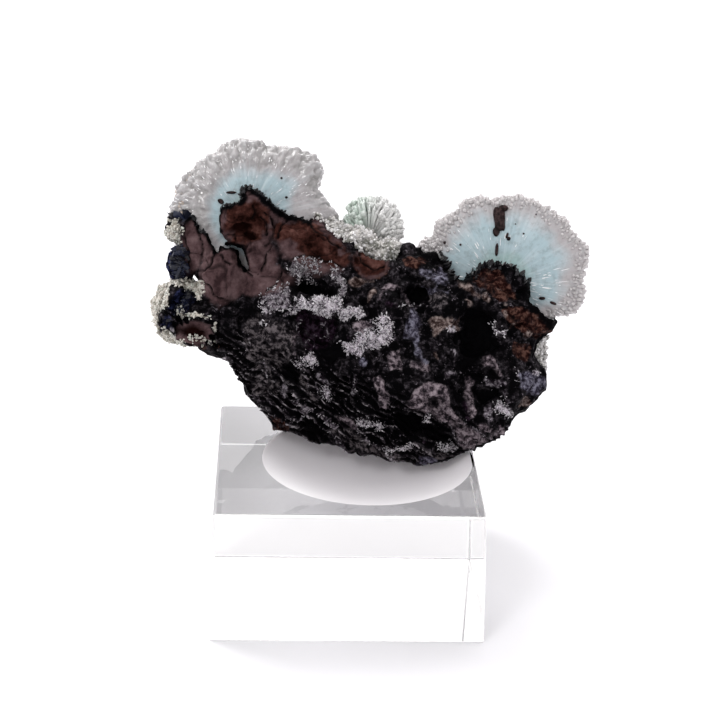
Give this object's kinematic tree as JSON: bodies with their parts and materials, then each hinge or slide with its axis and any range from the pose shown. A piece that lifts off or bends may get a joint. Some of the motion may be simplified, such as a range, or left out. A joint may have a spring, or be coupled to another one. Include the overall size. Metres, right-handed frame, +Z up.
{
  "type": "hemimorphite specimen on a display block",
  "caption": "Pale blue hemimorphite sprays on dark craggy matrix, resting in the dish of a clear square display block.",
  "frame": {"origin": "middle of the display block's underside, on the surface it stands on", "axes": "+Z up; +X along the specimen's width, to the right seen from its broken front face; +Y from the front to the back"},
  "size_m": [0.0642, 0.0476, 0.0596],
  "materials": {
    "clear_acrylic": "polished",
    "dark_matrix": "satin",
    "blue_spray": "satin",
    "green_spray": "satin",
    "white_druse": "satin",
    "tan_crust": "satin"
  },
  "bodies": {
    "root": {"display_block": "clear_acrylic", "matrix_rock": "dark_matrix", "left_fan": "blue_spray", "right_fan": "blue_spray", "middle_fan": "green_spray", "crest_crust": "white_druse", "left_rosette": "tan_crust", "side_cluster": "white_druse"}
  },
  "joints": []
}
